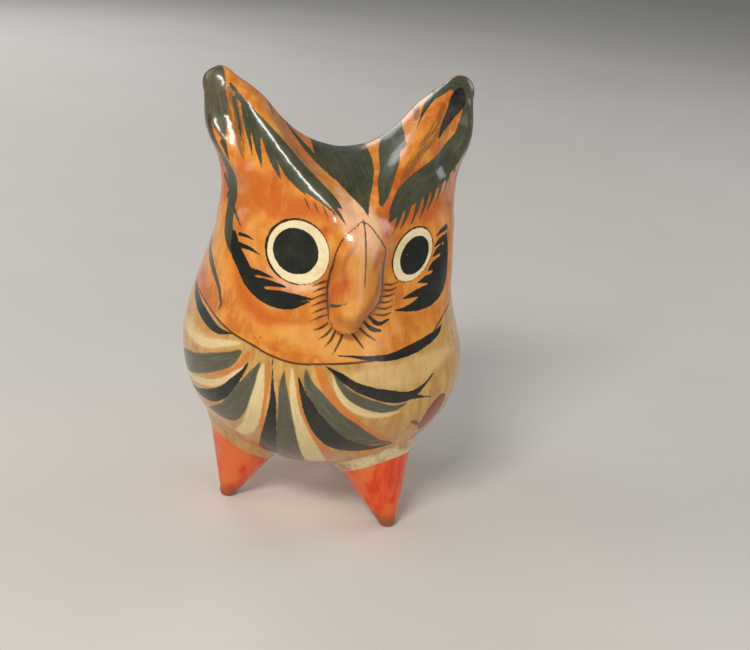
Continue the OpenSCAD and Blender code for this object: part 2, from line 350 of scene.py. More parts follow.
# ---------------------------------------------------------------- brush strokes, laid on the skin
VIEWS = {   # where a spot (a, b) is looked at from, and in which direction: "body" is in the part's frame,
            # the others in the head's
    "body": lambda a, b: ((70 * np.sin(np.radians(a)), -70 * np.cos(np.radians(a)), b),
                          (-np.sin(np.radians(a)), np.cos(np.radians(a)), 0 * a)),
    "face": lambda a, b: ((a, 0 * a - 70, b), (0 * a, 0 * a + 1, 0 * a)),
    "nape": lambda a, b: ((a, 0 * a + 70, b), (0 * a, 0 * a - 1, 0 * a)),
    "right": lambda a, b: ((0 * a - 70, a, b), (0 * a + 1, 0 * a, 0 * a)),
    "left": lambda a, b: ((0 * a + 70, a, b), (0 * a - 1, 0 * a, 0 * a)),
    "crown": lambda a, b: ((a, b, 0 * a + 160), (0 * a, 0 * a, 0 * a - 1)),
}
STEPS = 8           # samples between two spots of a stroke
REACH = 3.0         # how far from a stroke its distance is kept, in mm
MARGIN = 0.3        # how far past a stroke its streaks reach, in mm
TOUCH = 0.03        # how near the owl's shape a vertex of the outside lies, in mm
MARCH = 45          # steps with which a line of sight finds the skin


def on_skin(view, a, b):
    """The points of the skin at the spots (a, b) of a view, as rows."""
    start, way = [np.array(v, float) for v in VIEWS[view](a, b)]
    if view != "body":
        start, way = [np.array(turned(v, -HEAD_TURN)) for v in (start, way)]
    gone = np.zeros(len(a))
    for _ in range(MARCH):
        gone = np.minimum(gone + 0.85 * owl(start + gone * way), 110)
    return (start + gone * way).T


def curve(spots):
    """A smooth curve through rows of numbers."""
    s = np.array(spots, float)
    s = np.vstack([2 * s[0] - s[1], s, 2 * s[-1] - s[-2]])
    t = np.linspace(0, 1, STEPS, endpoint=False)[:, None]
    rows = []
    for a, b, c, d in zip(s, s[1:], s[2:], s[3:]):
        rows.append(b + 0.5 * t * (c - a + t * (2 * a - 5 * b + 4 * c - d + t * (3 * (b - c) + d - a))))
    return np.vstack(rows + [s[-2:-1]])


class Painting:
    """Signed distances in mm from every vertex to the painted marks of each colour: above zero is paint."""
    colours = ("orange", "ember", "pale", "bright_and_sheen", "shade", "amber", "gold", "cream", "bone", "grey",
               "olive", "black", "line", "rust")

    def __init__(self, points):
        self.points = points
        self.marks = {c: np.full(len(points), -REACH) for c in self.colours}
        self.brush = np.zeros((len(points), 3))     # across and along the last stroke, 9 times its number
        self.count = 0

    def add(self, colour, near, value):
        field = self.marks[colour]
        field[near] = np.maximum(field[near], np.clip(value, -REACH, REACH))

    def near(self, low, high):
        p = self.points
        return np.nonzero(((p > low - REACH) & (p < high + REACH)).all(1))[0]

    def stroke(self, colour, view, *spots):
        """One stroke of the brush. A spot is (a, b, width of the stroke)."""
        s = curve(spots)
        line = on_skin(view, s[:, 0], s[:, 1])
        half = np.maximum(s[:, 2], 0.1) / 2
        near = self.near(line.min(0) - half.max(), line.max(0) + half.max())
        p = self.points[near]
        best = np.full(len(near), -REACH)
        brush = np.zeros((len(near), 3))
        out = unit(slope(owl, line))
        gone = 0
        self.count += 1
        for a, b, ra, rb, up in zip(line, line[1:], half, half[1:], out):
            d = b - a
            long = max(np.sqrt(d @ d), 1e-4)
            t = np.clip((p - a) @ d / long ** 2, 0, 1)
            off = p - a - t[:, None] * d
            value = ra + (rb - ra) * t - np.linalg.norm(off, axis=1)
            closer = value > best
            best[closer] = value[closer]
            across = off @ np.cross(d, up) / long
            brush[closer] = np.stack([across, gone + t * long, 0 * t + 9 * self.count], 1)[closer]
            gone += long
        self.add(colour, near, best)
        under = best > -MARGIN
        self.brush[near[under]] = brush[under]

    def barb(self, root, tip, width):
        """A short black stroke on the face, from a broad root to a thin tip."""
        middle = (root[0] / 2 + tip[0] / 2, root[1] / 2 + tip[1] / 2 + 0.3)
        self.stroke("black", "face", (*root, width), (*middle, 0.7 * width), (*tip, 0.2))

    def ring(self, colour, view, spot, outer, inner=0, inner_spot=None, lean=0, long=1):
        """A dab, or the ring between two. Long ones lean from the upright by an angle in the head's frame."""
        middle, hole = [on_skin(view, *np.array([s], float).T)[0] for s in (spot, inner_spot or spot)]
        axis = np.array(turned((sin(radians(lean)), 0, cos(radians(lean))), -HEAD_TURN))
        near = self.near(middle - outer * long, middle + outer * long)

        def away(centre):
            off = self.points[near] - centre
            along = (off @ axis)[:, None] * axis
            return np.linalg.norm(along / long + (off - along) * long, axis=1)

        value = outer - away(middle)
        if inner:
            value = np.minimum(value, away(hole) - inner)
        self.add(colour, near, value)


COLLAR_LINE = ((-65, 76), (-47, 74), (-35, 71), (-24, 68), (-14, 66), (-5, 64), (6, 63), (18, 64), (33, 65),
               (50, 66), (60, 67), (72, 69), (81, 73), (89, 76), (110, 80), (180, 83), (250, 80), (295, 76))


def paint_grounds(paint):
    """Orange over the head down to the line round the neck, the line, and soft light and dark patches, some
    of the pale ones partly a painted highlight.
    """
    path = curve(COLLAR_LINE)
    p = paint.points
    azimuth = np.degrees(np.arctan2(p[:, 0], -p[:, 1]))
    level = np.interp(azimuth, path[:, 0], path[:, 1], period=360)
    paint.marks["orange"] = np.clip(p[:, 2] - level, -REACH, REACH)
    paint.stroke("line", "body", *[(az, z, 0.7) for az, z in COLLAR_LINE])
    # a paler tone of the paint over the brow and down to the beak, partly a painted highlight where the
    # varnish glares
    paint.stroke("pale", "face", (-4, 114, 3), (-1, 109.5, 9), (2, 105, 12), (3, 100, 8), (3, 95, 2))
    paint.stroke("ember", "face", (-33, 119, 2), (-28, 112, 9), (-22, 108, 8), (-14, 109, 6), (-8, 107, 2))
    paint.stroke("ember", "face", (-34, 108, 2), (-31, 100, 6), (-30, 92, 5), (-27, 86, 3))
    paint.stroke("ember", "face", (14, 105, 2), (20, 107, 4), (27, 108, 6), (33, 110, 5))
    paint.stroke("ember", "face", (-34, 90, 2), (-31, 80, 5), (-25, 75, 5), (-15, 75, 2))
    paint.stroke("bright_and_sheen", "face", (-22, 72, 3), (-12, 71, 8), (-2, 69, 8), (8, 69, 3))
    paint.stroke("bright_and_sheen", "face", (-27, 105, 1), (-30, 100, 4), (-29.5, 93, 4.5), (-27, 88, 1))
    # paler paint under the right eye, partly a painted highlight
    paint.stroke("pale", "face", (-25, 89, 1), (-19, 85.3, 3), (-12, 86.5, 2))
    paint.stroke("pale", "body", (26, 61.5, 1), (38, 60, 6), (54, 60, 8), (70, 61, 7), (82, 63, 3))
    paint.stroke("pale", "body", (-70, 62, 3), (-54, 62, 5), (-38, 62, 4), (-22, 65, 1))


def paint_eyes(paint):
    """Pale rings with a thin outline, thicker on one side, and dark pupils."""
    right = ((-16.6, 95.8), (-17.3, 96), 10, 7.3, (-16.85, 95.95), -58, 1.08)
    left = ((20, 95), (20.6, 94.7), 9.3, 6.8, (19.85, 95.15), 52, 1.38)
    for eye, pupil, outer, size, shade, lean, long in (right, left):
        paint.ring("bone", "face", eye, outer, lean=lean, long=long)
        paint.ring("line", "face", eye, outer + 0.3, outer, lean=lean, long=long)
        paint.ring("black", "face", shade, outer + 0.5, outer, eye, lean=lean, long=long)
        paint.ring("black", "face", pupil, size, lean=lean, long=long)


def paint_beak(paint):
    """The line and painted shade round the beak, a painted highlight down its ridge, the marks on it, and the
    bristles beside it.
    """
    near = np.nonzero(np.abs(bill(paint.points.T)) < REACH)[0]
    p = paint.points[near].T
    off = 0.75 * np.abs(bill(p) - core(p))
    paint.add("line", near, np.minimum(0.26 - off, (95 - p[2]) / 8))
    paint.add("shade", near, np.minimum(1 - off, (96 - p[2]) / 4))
    paint.stroke("line", "face", (-2, 105, 0.4), (-3.5, 103.5, 0.5), (-5, 101.5, 0.6), (-6.3, 98, 0.6),
                 (-7.2, 94, 0.6))
    paint.stroke("line", "face", (9.3, 99, 0.7), (9.3, 96.5, 0.7), (8.8, 94, 0.4))
    paint.stroke("shade", "face", (7.5, 94, 1), (6.5, 87, 3), (3.5, 81.5, 4), (-1, 78, 4), (-5.5, 79, 2))
    paint.stroke("shade", "face", (-1, 101, 0.5), (-3.5, 97, 1.6), (-4.5, 92, 1.6), (-3, 88, 0.5))
    # a painted highlight down the ridge of the beak
    paint.stroke("bright_and_sheen", "face", (2, 99, 3), (1.5, 94, 6), (0.5, 88, 7), (-1.5, 82, 6), (-3, 79, 2))
    paint.stroke("line", "face", (-2, 105, 0.4), (-0.5, 105.8, 0.5), (1.3, 107, 0.5), (3.5, 106.2, 0.5),
                 (6, 103.4, 0.6), (9.3, 99, 0.7))
    paint.stroke("line", "face", (1.8, 107.5, 0.5), (2, 103, 0.55), (2.2, 96, 0.55), (2, 89, 0.4))
    paint.stroke("olive", "face", (-7.6, 82.4, 1.2), (-6, 82.9, 0.9), (-4, 83.8, 0.6), (-2.5, 85, 0.3))
    for z in (89.2, 87.4, 85.4, 83.3, 81, 78.8):
        paint.stroke("line", "face", (-8.2, z, 0.5), (-10, z - 1, 0.75), (-12.5, z - 2.6, 0.4))
    for root, tip in (((-7, 77), (-12, 73.5)), ((-6, 75.5), (-10.5, 71)), ((-5, 75), (-8.5, 69))):
        mid = (root[0] / 2 + tip[0] / 2 + 0.3, root[1] / 2 + tip[1] / 2 - 0.4)
        paint.stroke("line", "face", (*root, 0.5), (*mid, 0.85), (*tip, 0.4))
    paint.stroke("line", "face", (-3, 75, 0.5), (-3.5, 72, 0.85), (-6, 67, 0.4))
    paint.stroke("line", "face", (-1.5, 75, 0.5), (1, 72, 0.85), (3.5, 69, 0.4))
    paint.stroke("line", "face", (1, 76, 0.5), (4, 73.3, 0.85), (7.5, 71, 0.4))
    paint.stroke("black", "face", (2.8, 77.3, 0.6), (6, 74.6, 1.5), (9, 73.8, 0.8))
    paint.stroke("black", "face", (4.5, 78.8, 0.6), (8, 76, 1.5), (11.7, 76.8, 0.6))
    for z, far in ((79.2, 12.5), (81.2, 12.8), (83.1, 13), (84.9, 13.5), (86.6, 14.2), (88.2, 14.6)):
        paint.stroke("line", "face", (far - 6.2, z, 0.4), (far - 2.8, z - 0.8, 0.75), (far, z - 0.5, 0.4))


def paint_right_side(paint):
    """The owl's right: ear, brow, crescent round the eye."""
    paint.stroke("grey", "face", (-40, 144, 5), (-40.5, 140, 7), (-40, 135, 7), (-39, 130, 5),
                 (-38, 125, 1))
    paint.stroke("grey", "right", (2, 145, 5), (1, 139, 8), (0, 132, 7), (-1, 126, 2))
    paint.stroke("olive", "right", (4, 144, 1), (5, 138, 3), (5, 131, 3), (4, 124, 0.6))
    paint.stroke("olive", "right", (-3, 131, 1), (-4.3, 125, 3), (-5.2, 118, 4.5), (-6.8, 111, 4.8),
                 (-10, 104, 4.8), (-14.5, 98, 4.4), (-18.5, 93, 3))
    paint.stroke("black", "face", (-34.5, 98, 1.5), (-34, 93, 3.8), (-32, 89, 4.3), (-30, 85, 4.3),
                 (-27, 82, 4), (-23, 80, 3.3), (-18, 80, 2.4), (-13, 82, 0.3))
    for z in (124, 118, 112, 107):
        paint.stroke("olive", "face", (-38 + (124 - z) / 6, z, 2), (-35.5 + (124 - z) / 6, z - 7, 0.2))
    for root, tip, width in (((-33, 98), (-29, 97), 1.2), ((-33, 95), (-27, 93), 1.6),
                             ((-32, 88), (-23, 87), 2.2), ((-30, 85), (-19, 85), 2.8),
                             ((-27, 82), (-13, 83), 2.6), ((-24, 80), (-12, 83), 2.7)):
        paint.barb(root, tip, width)
    paint.stroke("olive", "face", (-36, 141, 0.8), (-32.5, 136.5, 1.8), (-28.6, 132, 3.2),
                 (-24.8, 127.8, 4.8), (-20.3, 123, 6), (-16, 118.8, 6.4), (-11, 115, 5),
                 (-6.5, 111.8, 2.6), (-4, 109.5, 0.4))
    for fringe in (((-35, 137, 1.6), (-33.5, 131, 1.3), (-32.5, 124, 0.2)),
                   ((-30, 132, 3), (-28.6, 126, 2.6), (-27, 118, 0.2)),
                   ((-26, 127.5, 3), (-24, 121.5, 2.4), (-21.5, 115.5, 0.2)),
                   ((-22, 123, 3.4), (-19, 117.5, 2.6), (-14, 112, 0.2)),
                   ((-18.5, 120, 3.2), (-15, 115, 2.5), (-9, 110.5, 0.2)),
                   ((-32.5, 135, 2), (-31, 128.5, 2), (-29.5, 121, 0.2)),
                   ((-13, 115, 2), (-10, 111.5, 1.2), (-6, 108, 0.2)),
                   ((-9, 113, 2), (-6, 109.5, 1.2), (-3.5, 106, 0.2))):
        paint.stroke("olive", "face", *fringe)
    for x in (-15, -12.5, -10, -7.5):
        paint.stroke("line", "face", (x, 108 - x / 4, 0.3), (x + 0.7, 106.5 - x / 4, 0.5),
                     (x + 1.6, 104.5 - x / 4, 0.2))
    paint.stroke("gold", "face", (-36, 139.5, 2.6), (-34.6, 133, 5), (-33.4, 127, 3.8), (-32, 120, 0.6))
    paint.stroke("gold", "face", (-32, 137, 1.7), (-30, 131, 2.5), (-28, 124, 0.6))
    paint.stroke("olive", "face", (-19, 131, 0.6), (-14, 125, 2.2), (-8, 119, 2.4), (-4, 116.5, 0.6))


def paint_left_side(paint):
    """The owl's left: ear, brow, crescent round the eye."""
    paint.stroke("olive", "face", (24, 134, 0.8), (27, 138, 3), (31.5, 141, 4), (36, 143.5, 5.5),
                 (40, 141, 6), (41, 134, 5.5), (39, 127, 7), (34, 122, 8.4), (28, 118, 9), (21, 115, 8.4),
                 (16, 112, 7), (13, 109, 4.4), (11, 106, 0.8))
    paint.stroke("black", "face", (22, 130.5, 0.4), (26, 136.5, 0.9), (31, 141.5, 1.2), (35, 144.6, 1.4))
    paint.ring("olive", "face", (39.5, 142.5), 4.8)
    paint.stroke("olive", "left", (2, 145, 5), (1, 139, 8), (0, 132, 8), (-2, 125, 7), (-5, 118, 3),
                 (-6, 113, 0.6))
    for root, tip in (((37, 123), (37, 115)), ((34, 119), (31.5, 110)), ((31, 117), (28, 108)),
                      ((28, 115), (25, 107)), ((25, 113), (22, 105)), ((22, 112), (19, 104)),
                      ((18, 110), (15, 103)), ((15, 109), (12, 102))):
        paint.stroke("olive", "face", (*root, 2.6), (root[0] - 1, root[1] / 2 + tip[1] / 2, 1.4),
                     (*tip, 0.2))
    paint.stroke("black", "face", (38, 142, 1.2), (37, 139, 5.8), (34, 135, 6), (31, 131.5, 3),
                 (29, 128.5, 0.5))
    paint.stroke("gold", "face", (31, 138, 1.2), (28, 131, 3.9), (22, 125, 3), (17, 119, 2.4),
                 (14, 115, 0.5))
    paint.stroke("olive", "face", (18.6, 130, 8), (16.4, 126, 8.4), (13.6, 121, 7), (10.4, 117, 5),
                 (8.2, 111.5, 1.8))
    paint.stroke("black", "face", (33, 99, 1), (32.5, 94, 3.4), (31.5, 90, 6), (30.5, 86.5, 8),
                 (29, 83.5, 8), (26, 81, 6), (22.5, 79.6, 4), (18.5, 79, 2), (13.5, 79.3, 0.2))
    for root, tip, width in (((33, 101), (28.6, 99), 1.8), ((32, 98), (28, 96), 2.2),
                             ((31, 95), (27.3, 93), 2.6), ((30, 91), (25.5, 89), 3.4),
                             ((29, 86.5), (22, 86.3), 3.6), ((27, 83.3), (16.5, 82.3), 3.6)):
        paint.barb(root, tip, width)


def paint_crown(paint):
    """Olive patches over the top of the head and down its back."""
    paint.stroke("olive", "face", (-6, 123, 8), (-4, 120.5, 9), (-1, 116, 7), (2, 111.5, 2),
                 (3.5, 108.5, 0.2))
    paint.stroke("olive", "face", (3.5, 122, 11), (4, 119, 9.5), (4, 115.5, 6), (3.5, 111.5, 2.5),
                 (3.5, 108, 0.2))
    paint.stroke("olive", "crown", (0, -14, 15), (-1, -4, 17), (0, 8, 15), (0, 18, 9), (0, 26, 1))
    paint.stroke("olive", "crown", (17, -10, 6), (17, -2, 7), (15, 8, 7), (13, 18, 4), (12, 25, 0.6))
    paint.stroke("olive", "crown", (-17, 1, 1), (-16, 7, 6), (-15, 13, 6), (-13, 19, 4), (-12, 25, 0.6))
    for side in (1, -1):
        paint.stroke("gold", "crown", (23 * side, -6, 2), (24 * side, 2, 3), (22 * side, 10, 2),
                     (19 * side, 17, 0.5))


def paint_back_of_head(paint):
    """Leaf strokes on the nape and the backs of the ears."""
    for side in (1, -1):
        paint.stroke("olive", "nape", (38 * side, 144, 3), (40 * side, 139, 7), (38 * side, 131, 6.5),
                     (34 * side, 123, 5.5), (30 * side, 116, 1))
        paint.stroke("gold", "nape", (33 * side, 135, 2), (29 * side, 127, 3.4), (26 * side, 119, 1))
        paint.stroke("olive", "nape", (23 * side, 124, 1), (24 * side, 116, 5), (27 * side, 107, 5),
                     (30 * side, 99, 0.6))
        paint.stroke("black", "nape", (9 * side, 109, 0.8), (14 * side, 101, 4.2), (20 * side, 93, 0.8))
        paint.stroke("grey", "nape", (6 * side, 103, 0.8), (9 * side, 95, 4.6), (14 * side, 87, 1))
    paint.stroke("black", "nape", (0, 107, 0.6), (0, 98, 4), (0, 88, 0.6))


CHEST = (
    ("grey", (-66, 50, 3), (-56, 50.5, 7.2), (-42, 53.5, 6.6), (-31, 57, 6), (-23, 60, 4.4),
     (-19, 63, 1.5)),
    ("amber", (-15, 63, 1.6), (-18, 59, 2), (-22, 56, 1.6), (-30, 53.5, 0.6)),
    ("cream", (-64, 46, 1), (-53, 46, 2.4), (-36, 48.5, 2.6), (-26, 52, 2), (-18, 57, 1.4), (-14, 60, 0.3)),
    ("cream", (-58, 61, 1), (-48, 61, 2.6), (-38, 61.5, 3), (-28, 64, 2.4), (-20, 65.5, 0.8)),
    ("black", (-60, 42, 0.6), (-48, 42, 2.6), (-36, 44, 4.6), (-26, 48, 4), (-19, 54, 2.6),
     (-16, 57.5, 1.3), (-14, 61, 0.2)),
    ("amber", (-42, 40, 1), (-33, 41, 1.6), (-25, 44.5, 1.2), (-17, 51, 1.2), (-12, 57, 0.5)),
    ("grey", (-40, 38, 1.5), (-32, 39, 5), (-24, 41.5, 7.4), (-18, 47, 7.4), (-13, 54, 4.4),
     (-10.5, 59, 1.8), (-9, 61.5, 0.2)),
    ("cream", (-24, 33, 3), (-16, 37, 4.6), (-11, 43, 5), (-8.5, 51, 4.4), (-8, 57, 2.6), (-7.5, 61, 0.6)),
    ("amber", (-12, 31, 1.4), (-8, 38, 1.4), (-5.5, 48, 1.5), (-4.5, 57, 1.3), (-5, 62, 0.5)),
    ("black", (-4, 63.5, 0.3), (-2.5, 56, 0.8), (-1.5, 49, 2.4), (-3, 41, 4.2), (-6, 34, 5.4),
     (-10, 28, 6.5)),
    ("grey", (2, 60.5, 0.3), (2, 56, 2.3), (3.5, 49, 4.1), (4, 41, 6), (3.5, 33, 8), (3, 26, 9)),
    ("cream", (5, 61.5, 0.5), (6, 57, 1.7), (8, 49, 2.6), (11, 41, 4.2), (15, 32, 6.5), (18, 26, 7)),
    ("amber", (7, 58, 0.4), (11, 50, 1.4), (15, 42.5, 2), (21, 34, 3.4), (26, 28, 3)),
    ("black", (8, 59.5, 0.2), (11, 54, 2.2), (15, 48, 4.6), (20, 42, 6.2), (27, 37, 6.8), (36, 34.5, 5.2),
     (46, 33.5, 2.6), (59, 34, 0.5)),
    ("grey", (11, 61.5, 0.6), (13, 57, 3.2), (18, 52.5, 4.6), (24, 47, 5.6), (31, 42.5, 6.4),
     (39, 38.5, 5.4), (47, 36, 3), (56, 34.5, 0.5)),
    ("amber", (16, 63, 2.6), (20.5, 56.5, 2.8), (26, 51, 2.8), (35, 44, 3), (46, 38.5, 2.4), (58, 35, 0.6)),
    ("cream", (22, 62, 0.5), (24, 57, 1.4), (29, 52, 2.3), (37, 48.5, 2.5), (45, 47.5, 1.6), (52, 48, 0.4)),
    ("grey", (22, 62, 0.6), (28, 56, 2.5), (34, 53, 3.4), (42, 50.5, 3.4), (49, 49.5, 2), (56, 50.5, 0.4)),
    ("black", (19, 63.5, 0.2), (25, 61, 2), (31, 58, 2.7), (37, 56, 3.3), (45, 54, 4), (53, 52.6, 3.5),
     (60, 53, 2.2), (66, 55, 1), (72, 58, 0.2)),
    ("black", (56, 52.3, 2), (63, 51.3, 0.9), (70, 50, 0.2)),
)


def paint_body(paint):
    """The fan of breast feathers, the same fan on the back, and the marks at the sides."""
    for colour, *spots in CHEST:
        paint.stroke(colour, "body", *spots)
        paint.stroke(colour, "body", *[(186 - az, 1.42 * z - 10, 1.25 * width) for az, z, width in spots])
    paint.stroke("black", "body", (24, 66.8, 0.2), (30, 66.6, 0.8), (38, 66, 1.5), (48, 65.6, 2.4),
                 (59, 66.4, 3.3), (70, 68, 3), (77, 69.5, 2), (81, 71.5, 0.3))
    paint.stroke("black", "body", (-64, 75, 1), (-56, 73, 3.2), (-47, 70.5, 4), (-39, 68.5, 3.8),
                 (-32, 67.2, 2.4), (-24, 67.8, 0.3))
    paint.stroke("olive", "body", (-60, 92, 1.5), (-54, 89, 2.6), (-44, 85, 2.6), (-37, 81, 1.7),
                 (-34, 77.5, 1.2), (-33, 75, 0.8), (-35.5, 72, 0.3))
    for az, turn in ((74, 1), (-80, -1), (112, -1)):
        leaf = ((-4.5, -4.5, 1), (-2.5, -2.2, 6), (0, 0.5, 8), (2.5, 3, 6), (4.5, 5, 1))
        spots = [(az + turn * a, 43 + z, width) for a, z, width in leaf]
        paint.stroke("line", "body", *[(a, z, width + 1.1) for a, z, width in spots])
        paint.stroke("rust", "body", *spots)
    paint.stroke("rust", "body", (60, 43, 0.5), (64, 41.5, 1.6), (67, 40, 0.5))


def paint_skin(pieces):
    """Puts the painting on the pieces as attributes, and shades their outside as one smooth skin."""
    every = {name: places(o) for name, o in pieces.items()}
    points = np.vstack(list(every.values()))
    outer = np.abs(owl(points.T)) < TOUCH
    paint = Painting(points[outer])
    for job in (paint_grounds, paint_eyes, paint_beak, paint_right_side, paint_left_side, paint_crown,
                paint_back_of_head, paint_body):
        job(paint)
    normals = np.zeros_like(points)
    normals[outer] = unit(slope(owl, points[outer]))
    marks = {}
    for colour, field in paint.marks.items():
        marks[colour] = np.full(len(points), -REACH, np.float32)
        marks[colour][outer] = field
    marks["outside"] = outer.astype(np.float32)
    brush = np.zeros_like(points)
    brush[outer] = paint.brush
    start = 0
    for name, o in pieces.items():
        mine = slice(start, start + len(every[name]))
        start = mine.stop
        for label, field in marks.items():
            o.data.attributes.new(label, "FLOAT", "POINT").data.foreach_set("value", field[mine])
        streaks = o.data.attributes.new("brush", "FLOAT_VECTOR", "POINT")
        streaks.data.foreach_set("vector", brush[mine].ravel())
        own = np.empty(3 * len(every[name]))
        o.data.vertices.foreach_get("normal", own)
        shade = np.where(outer[mine, None], normals[mine], own.reshape(-1, 3))
        o.data.shade_smooth()
        o.data.normals_split_custom_set_from_vertices(shade)


# ---------------------------------------------------------------- clay, slip and varnish
def rgb(r, g, b):
    """A colour of 0-255 values, as the linear values that Blender's nodes take."""
    return tuple(((v / 255 + 0.055) / 1.055) ** 2.4 if v > 10 else v / 255 / 12.92 for v in (r, g, b)) + (1,)


class Material:
    """A node material with short ways to put nodes in. A value may be a number or another node's output."""

    def __init__(self, name):
        self.made = bpy.data.materials.new(name)
        self.made.use_nodes = True
        self.tree = self.made.node_tree
        self.tree.nodes.clear()
        self.place = self.put("ShaderNodeTexCoord").outputs["Object"]

    def put(self, kind, values=(), **settings):
        node = self.tree.nodes.new(kind)
        for key, value in settings.items():
            setattr(node, key, value)
        for key, value in dict(values).items():
            if isinstance(value, bpy.types.NodeSocket):
                self.tree.links.new(value, node.inputs[key])
            else:
                node.inputs[key].default_value = value
        return node

    def stretched(self, x, y, z):
        return self.put("ShaderNodeMapping", {"Vector": self.place, "Scale": (x, y, z)}).outputs[0]

    def noise(self, per_mm, detail=3, rough=0.5, place=None, warp=0):
        """Clouds from about 0 to 1, so many to the millimetre."""
        return self.put("ShaderNodeTexNoise", {
            "Vector": place or self.place, "Scale": per_mm / MM, "Detail": detail, "Roughness": rough,
            "Distortion": warp}).outputs[0]

    def cells(self, per_mm, feature="F1"):
        return self.put("ShaderNodeTexVoronoi", {"Vector": self.place, "Scale": per_mm / MM},
                        feature=feature).outputs["Distance"]

    def sum(self, a, b, operation="ADD"):
        return self.put("ShaderNodeMath", {0: a, 1: b}, operation=operation).outputs[0]

    def times(self, a, b):
        return self.sum(a, b, "MULTIPLY")

    def rise(self, value, low, high, to_low=0.0, to_high=1.0):
        return self.put("ShaderNodeMapRange", {"Value": value, 1: low, 2: high, 3: to_low, 4: to_high},
                        interpolation_type="SMOOTHSTEP").outputs[0]

    def mix(self, below, above, amount):
        node = self.put("ShaderNodeMix", {0: amount, 6: below, 7: above}, data_type="RGBA")
        return node.outputs[2]

    def mark(self, name, output="Fac"):
        return self.put("ShaderNodeAttribute", attribute_name=name).outputs[output]

    def finish(self, colour, roughness, bump_height, bump, coat, coat_roughness=0.1):
        normal = self.put("ShaderNodeBump", {"Height": bump_height, "Strength": 1.0, "Distance": bump * MM})
        shader = self.put("ShaderNodeBsdfPrincipled", {
            "Base Color": colour, "Roughness": roughness, "Normal": normal.outputs[0], "Coat Weight": coat,
            "Coat Roughness": coat_roughness, "Coat Normal": normal.outputs[0], "IOR": 1.45,
            "Specular IOR Level": 0.35})
        self.put("ShaderNodeOutputMaterial", {"Surface": shader.outputs[0]})
        return self.made


